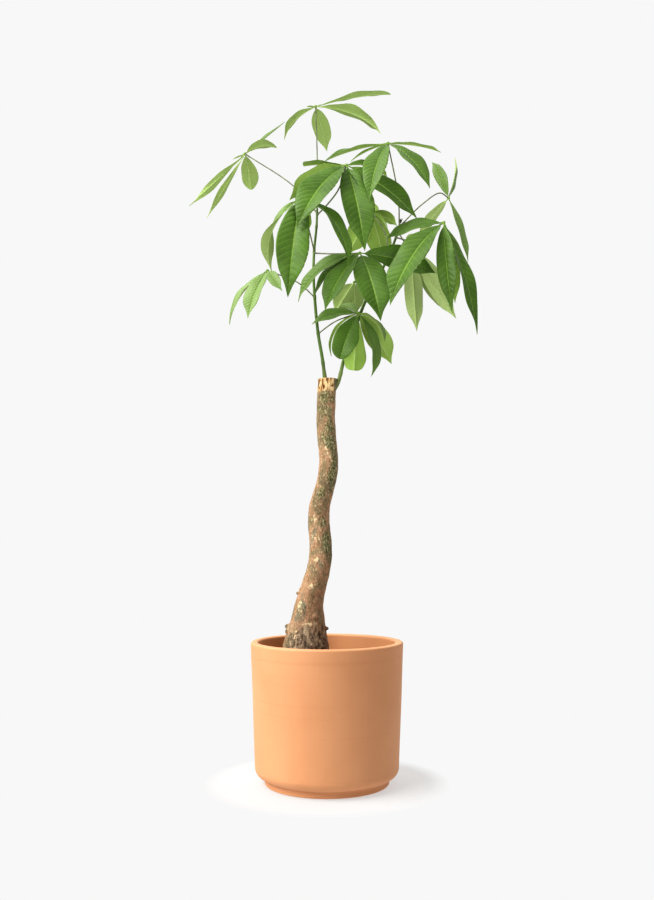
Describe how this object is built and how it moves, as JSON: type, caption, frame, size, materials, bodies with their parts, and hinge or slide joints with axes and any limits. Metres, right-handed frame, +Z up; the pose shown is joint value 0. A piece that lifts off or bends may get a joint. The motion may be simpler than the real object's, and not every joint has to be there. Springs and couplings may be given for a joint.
{
  "type": "potted money tree",
  "caption": "Indoor tree with a crooked bare trunk, two thin shoots and drooping palmate leaves, planted in a plain cylindrical terracotta pot.",
  "frame": {"origin": "on the floor, on the pot's axis, which is the middle of the whole object's footprint to within a few millimetres", "axes": "+Z up along the pot's axis; -Y towards the side that the plant shows its largest leaves; +X to the right seen from there"},
  "size_m": [0.5045, 0.334, 1.1942],
  "materials": {
    "terracotta": "matte",
    "soil": "matte",
    "bark": "matte",
    "green_shoot": "satin",
    "petiole": "satin",
    "bud": "matte",
    "leaf": "satin"
  },
  "bodies": {
    "root": {"pot": "terracotta", "soil": "soil", "trunk": "bark", "shoot_left": "green_shoot", "shoot_right": "green_shoot", "bud": "bud", "petiole_crown": "petiole", "leaf_crown": "leaf", "petiole_far_left": "petiole", "leaf_far_left": "leaf", "petiole_upper_front": "petiole", "leaf_upper_front": "leaf", "petiole_upper_right": "petiole", "leaf_upper_right": "leaf", "petiole_back_right": "petiole", "leaf_back_right": "leaf", "petiole_right_front": "petiole", "leaf_right_front": "leaf", "petiole_centre_front": "petiole", "leaf_centre_front": "leaf", "petiole_left_front": "petiole", "leaf_left_front": "leaf", "petiole_low_left": "petiole", "leaf_low_left": "leaf", "petiole_low_centre": "petiole", "leaf_low_centre": "leaf", "petiole_behind_centre": "petiole", "leaf_behind_centre": "leaf", "petiole_behind_right": "petiole", "leaf_behind_right": "leaf", "petiole_behind_upper": "petiole", "leaf_behind_upper": "leaf"}
  },
  "joints": []
}
